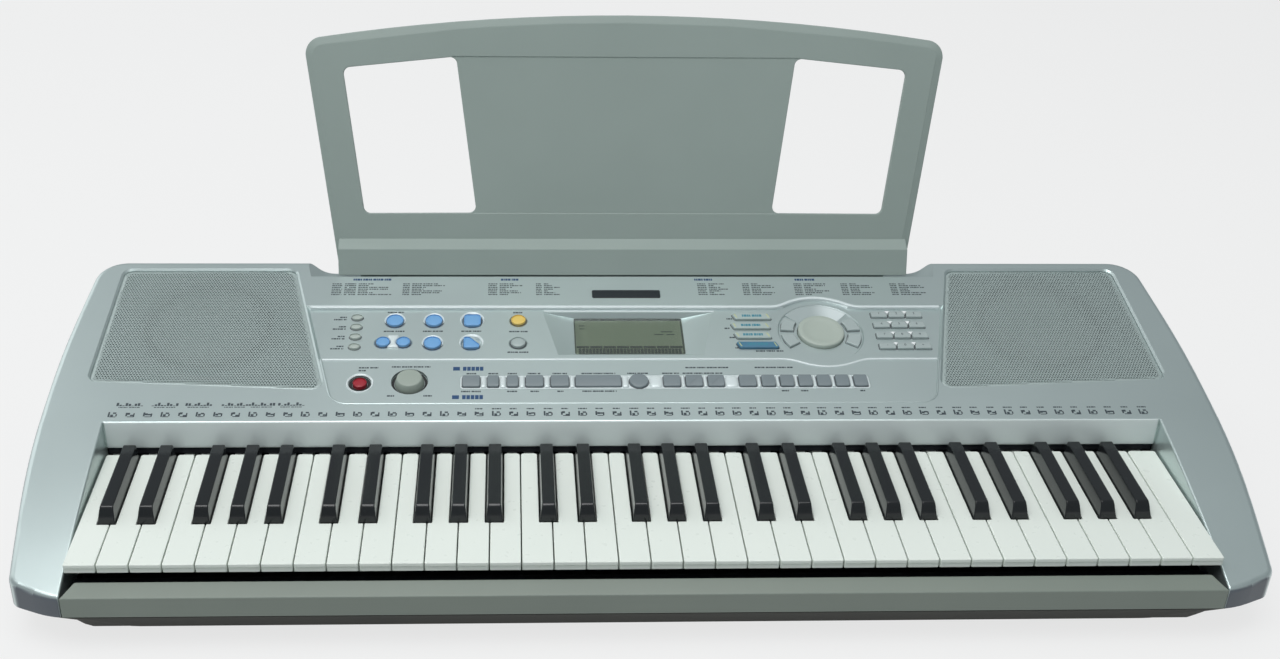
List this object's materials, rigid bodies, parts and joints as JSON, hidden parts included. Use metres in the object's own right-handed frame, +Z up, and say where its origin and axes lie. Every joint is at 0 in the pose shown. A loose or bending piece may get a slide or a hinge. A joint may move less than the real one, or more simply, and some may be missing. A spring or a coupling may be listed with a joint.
{
  "type": "arranger keyboard",
  "caption": "Portable arranger keyboard with full-size piano keys, twin speaker grilles, control panel with display, dial and buttons, and a lift-off music rest.",
  "frame": {"origin": "middle of the footprint of the whole object, music rest included, on the surface it stands on", "axes": "+X to the player's right along the keys, +Y towards the music rest, +Z up"},
  "size_m": [0.95, 0.427, 0.3402],
  "materials": {
    "case_silver_abs": "satin silver-grey moulding",
    "pan_grey_abs": "textured grey moulding",
    "slip_grey_abs": "warm grey moulding",
    "rest_grey_styrene": "satin grey moulding",
    "ivory_key_styrene": "polished white moulding",
    "black_key_abs": "semi-matt black moulding",
    "grille_steel": "perforated sheet, grey enamel",
    "cone_paper": "pressed paper cone",
    "driver_steel": "black enamel",
    "button_grey_abs": "satin grey moulding",
    "button_blue_abs": "glossy blue moulding",
    "button_yellow_abs": "glossy amber moulding",
    "button_red_abs": "glossy red moulding",
    "strip_pale_abs": "pale satin trim",
    "badge_dark_abs": "bare dark plate",
    "display_acrylic": "clear pane",
    "display_glass": "olive liquid-crystal cell",
    "board_epoxy": "green circuit board",
    "chassis_abs": "black moulding",
    "rod_steel": "drawn rod",
    "stop_felt": "pressed felt",
    "contact_rubber": "moulded silicone",
    "foot_rubber": "moulded rubber"
  },
  "bodies": {
    "case": {"audio_jacks": "chassis_abs", "badge_plate": "badge_dark_abs", "battery_box": "pan_grey_abs", "battery_contacts": "rod_steel", "bottom_case": "pan_grey_abs", "button_strip": "strip_pale_abs", "case_screws": "rod_steel", "dc_inlet": "chassis_abs", "display_module": "display_glass", "display_window": "display_acrylic", "hinge_rod": "rod_steel", "key_bed": "chassis_abs", "key_contact_board": "board_epoxy", "key_contact_rubber": "contact_rubber", "key_slip": "slip_grey_abs", "key_stop_felt": "stop_felt", "left_grille": "grille_steel", "main_board": "board_epoxy", "midi_sockets": "chassis_abs", "panel_board": "board_epoxy", "right_grille": "grille_steel", "rotary_sensors": "chassis_abs", "rubber_feet": "foot_rubber", "socket_plate": "chassis_abs", "speaker_cones": "cone_paper", "speaker_frames": "driver_steel", "top_case": "case_silver_abs"},
    "octave_1_white_c_e_g_b": {"octave_1_white_c_e_g_b": "ivory_key_styrene"},
    "octave_1_white_d_f_a": {"octave_1_white_d_f_a": "ivory_key_styrene"},
    "octave_1_black_keys": {"octave_1_black_keys": "black_key_abs"},
    "octave_2_white_c_e_g_b": {"octave_2_white_c_e_g_b": "ivory_key_styrene"},
    "octave_2_white_d_f_a": {"octave_2_white_d_f_a": "ivory_key_styrene"},
    "octave_2_black_keys": {"octave_2_black_keys": "black_key_abs"},
    "octave_3_white_c_e_g_b": {"octave_3_white_c_e_g_b": "ivory_key_styrene"},
    "octave_3_white_d_f_a": {"octave_3_white_d_f_a": "ivory_key_styrene"},
    "octave_3_black_keys": {"octave_3_black_keys": "black_key_abs"},
    "octave_4_white_c_e_g_b": {"octave_4_white_c_e_g_b": "ivory_key_styrene"},
    "octave_4_white_d_f_a": {"octave_4_white_d_f_a": "ivory_key_styrene"},
    "octave_4_black_keys": {"octave_4_black_keys": "black_key_abs"},
    "octave_5_white_c_e_g_b": {"octave_5_white_c_e_g_b": "ivory_key_styrene"},
    "octave_5_white_d_f_a": {"octave_5_white_d_f_a": "ivory_key_styrene"},
    "octave_5_black_keys": {"octave_5_black_keys": "black_key_abs"},
    "top_c_key": {"top_c_key": "ivory_key_styrene"},
    "power_button": {"power_button": "button_red_abs"},
    "oval_buttons": {"oval_buttons": "button_grey_abs"},
    "blue_buttons": {"blue_buttons": "button_blue_abs"},
    "yellow_button": {"yellow_button": "button_yellow_abs"},
    "grey_button": {"grey_button": "button_grey_abs"},
    "category_buttons": {"category_buttons": "button_grey_abs"},
    "dial_buttons": {"dial_buttons": "button_grey_abs"},
    "number_buttons": {"number_buttons": "button_grey_abs"},
    "style_buttons": {"style_buttons": "button_grey_abs"},
    "start_button": {"start_button": "button_grey_abs"},
    "sync_button": {"sync_button": "button_grey_abs"},
    "setting_buttons": {"setting_buttons": "button_grey_abs"},
    "memory_buttons": {"memory_buttons": "button_grey_abs"},
    "music_rest": {"music_rest": "rest_grey_styrene"},
    "battery_cover": {"battery_cover": "pan_grey_abs"},
    "volume_knob": {"volume_knob": "button_grey_abs"},
    "data_dial": {"data_dial": "button_grey_abs"}
  },
  "joints": [
    {"name": "octave_1_white_c_e_g_b_press", "type": "hinge", "parent": "case", "child": "octave_1_white_c_e_g_b", "pos_m": [0, 0.00747, 0.0545], "axis": [1, 0, 0], "range_deg": [0, 2.66], "stiffness_Nm_per_rad": 3.2, "springref_deg": -7.16},
    {"name": "octave_1_white_d_f_a_press", "type": "hinge", "parent": "case", "child": "octave_1_white_d_f_a", "pos_m": [0, 0.00747, 0.0545], "axis": [1, 0, 0], "range_deg": [0, 2.66], "stiffness_Nm_per_rad": 2.4, "springref_deg": -7.16},
    {"name": "octave_1_black_keys_press", "type": "hinge", "parent": "case", "child": "octave_1_black_keys", "pos_m": [0, 0.00747, 0.0545], "axis": [1, 0, 0], "range_deg": [0, 2.66], "stiffness_Nm_per_rad": 4, "springref_deg": -7.16},
    {"name": "octave_2_white_c_e_g_b_press", "type": "hinge", "parent": "case", "child": "octave_2_white_c_e_g_b", "pos_m": [0, 0.00747, 0.0545], "axis": [1, 0, 0], "range_deg": [0, 2.66], "stiffness_Nm_per_rad": 3.2, "springref_deg": -7.16},
    {"name": "octave_2_white_d_f_a_press", "type": "hinge", "parent": "case", "child": "octave_2_white_d_f_a", "pos_m": [0, 0.00747, 0.0545], "axis": [1, 0, 0], "range_deg": [0, 2.66], "stiffness_Nm_per_rad": 2.4, "springref_deg": -7.16},
    {"name": "octave_2_black_keys_press", "type": "hinge", "parent": "case", "child": "octave_2_black_keys", "pos_m": [0, 0.00747, 0.0545], "axis": [1, 0, 0], "range_deg": [0, 2.66], "stiffness_Nm_per_rad": 4, "springref_deg": -7.16},
    {"name": "octave_3_white_c_e_g_b_press", "type": "hinge", "parent": "case", "child": "octave_3_white_c_e_g_b", "pos_m": [0, 0.00747, 0.0545], "axis": [1, 0, 0], "range_deg": [0, 2.66], "stiffness_Nm_per_rad": 3.2, "springref_deg": -7.16},
    {"name": "octave_3_white_d_f_a_press", "type": "hinge", "parent": "case", "child": "octave_3_white_d_f_a", "pos_m": [0, 0.00747, 0.0545], "axis": [1, 0, 0], "range_deg": [0, 2.66], "stiffness_Nm_per_rad": 2.4, "springref_deg": -7.16},
    {"name": "octave_3_black_keys_press", "type": "hinge", "parent": "case", "child": "octave_3_black_keys", "pos_m": [0, 0.00747, 0.0545], "axis": [1, 0, 0], "range_deg": [0, 2.66], "stiffness_Nm_per_rad": 4, "springref_deg": -7.16},
    {"name": "octave_4_white_c_e_g_b_press", "type": "hinge", "parent": "case", "child": "octave_4_white_c_e_g_b", "pos_m": [0, 0.00747, 0.0545], "axis": [1, 0, 0], "range_deg": [0, 2.66], "stiffness_Nm_per_rad": 3.2, "springref_deg": -7.16},
    {"name": "octave_4_white_d_f_a_press", "type": "hinge", "parent": "case", "child": "octave_4_white_d_f_a", "pos_m": [0, 0.00747, 0.0545], "axis": [1, 0, 0], "range_deg": [0, 2.66], "stiffness_Nm_per_rad": 2.4, "springref_deg": -7.16},
    {"name": "octave_4_black_keys_press", "type": "hinge", "parent": "case", "child": "octave_4_black_keys", "pos_m": [0, 0.00747, 0.0545], "axis": [1, 0, 0], "range_deg": [0, 2.66], "stiffness_Nm_per_rad": 4, "springref_deg": -7.16},
    {"name": "octave_5_white_c_e_g_b_press", "type": "hinge", "parent": "case", "child": "octave_5_white_c_e_g_b", "pos_m": [0, 0.00747, 0.0545], "axis": [1, 0, 0], "range_deg": [0, 2.66], "stiffness_Nm_per_rad": 3.2, "springref_deg": -7.16},
    {"name": "octave_5_white_d_f_a_press", "type": "hinge", "parent": "case", "child": "octave_5_white_d_f_a", "pos_m": [0, 0.00747, 0.0545], "axis": [1, 0, 0], "range_deg": [0, 2.66], "stiffness_Nm_per_rad": 2.4, "springref_deg": -7.16},
    {"name": "octave_5_black_keys_press", "type": "hinge", "parent": "case", "child": "octave_5_black_keys", "pos_m": [0, 0.00747, 0.0545], "axis": [1, 0, 0], "range_deg": [0, 2.66], "stiffness_Nm_per_rad": 4, "springref_deg": -7.16},
    {"name": "top_c_key_press", "type": "hinge", "parent": "case", "child": "top_c_key", "pos_m": [0, 0.00747, 0.0545], "axis": [1, 0, 0], "range_deg": [0, 2.66], "stiffness_Nm_per_rad": 0.8, "springref_deg": -7.16},
    {"name": "power_button_press", "type": "slide", "parent": "case", "child": "power_button", "axis": [0, 0.1942, -0.981], "range_m": [0, 0.0015], "stiffness_N_per_m": 600, "springref_m": -0.001},
    {"name": "oval_buttons_press", "type": "slide", "parent": "case", "child": "oval_buttons", "axis": [0, 0.1942, -0.981], "range_m": [0, 0.0015], "stiffness_N_per_m": 900, "springref_m": -0.001},
    {"name": "blue_buttons_press", "type": "slide", "parent": "case", "child": "blue_buttons", "axis": [0, 0.1942, -0.981], "range_m": [0, 0.0015], "stiffness_N_per_m": 1200, "springref_m": -0.001},
    {"name": "yellow_button_press", "type": "slide", "parent": "case", "child": "yellow_button", "axis": [0, 0.1942, -0.981], "range_m": [0, 0.0015], "stiffness_N_per_m": 600, "springref_m": -0.001},
    {"name": "grey_button_press", "type": "slide", "parent": "case", "child": "grey_button", "axis": [0, 0.1942, -0.981], "range_m": [0, 0.0015], "stiffness_N_per_m": 600, "springref_m": -0.001},
    {"name": "category_buttons_press", "type": "slide", "parent": "case", "child": "category_buttons", "axis": [0, 0.1942, -0.981], "range_m": [0, 0.0015], "stiffness_N_per_m": 900, "springref_m": -0.001},
    {"name": "dial_buttons_press", "type": "slide", "parent": "case", "child": "dial_buttons", "axis": [0, 0.1942, -0.981], "range_m": [0, 0.0015], "stiffness_N_per_m": 900, "springref_m": -0.001},
    {"name": "number_buttons_press", "type": "slide", "parent": "case", "child": "number_buttons", "axis": [0, 0.1942, -0.981], "range_m": [0, 0.0015], "stiffness_N_per_m": 1700, "springref_m": -0.001},
    {"name": "style_buttons_press", "type": "slide", "parent": "case", "child": "style_buttons", "axis": [0, 0.1942, -0.981], "range_m": [0, 0.0015], "stiffness_N_per_m": 1000, "springref_m": -0.001},
    {"name": "start_button_press", "type": "slide", "parent": "case", "child": "start_button", "axis": [0, 0.1942, -0.981], "range_m": [0, 0.0015], "stiffness_N_per_m": 600, "springref_m": -0.001},
    {"name": "sync_button_press", "type": "slide", "parent": "case", "child": "sync_button", "axis": [0, 0.1942, -0.981], "range_m": [0, 0.0015], "stiffness_N_per_m": 600, "springref_m": -0.001},
    {"name": "setting_buttons_press", "type": "slide", "parent": "case", "child": "setting_buttons", "axis": [0, 0.1942, -0.981], "range_m": [0, 0.0015], "stiffness_N_per_m": 800, "springref_m": -0.001},
    {"name": "memory_buttons_press", "type": "slide", "parent": "case", "child": "memory_buttons", "axis": [0, 0.1942, -0.981], "range_m": [0, 0.0015], "stiffness_N_per_m": 1200, "springref_m": -0.001},
    {"name": "volume_turn", "type": "hinge", "parent": "case", "child": "volume_knob", "pos_m": [-0.1845, -0.00345, 0.10032], "axis": [0, -0.1942, 0.981], "range_deg": [-150, 150]},
    {"name": "data_dial_turn", "type": "hinge", "parent": "case", "child": "data_dial", "pos_m": [0.165, 0.05757, 0.11241], "axis": [0, -0.1942, 0.981], "continuous": true},
    {"name": "music_rest_lift", "type": "slide", "parent": "case", "child": "music_rest", "axis": [0, 0.309, 0.9511], "range_m": [0, 0.04]},
    {"name": "battery_cover_slide", "type": "slide", "parent": "case", "child": "battery_cover", "axis": [1, 0, 0], "range_m": [0, 0.1]}
  ]
}
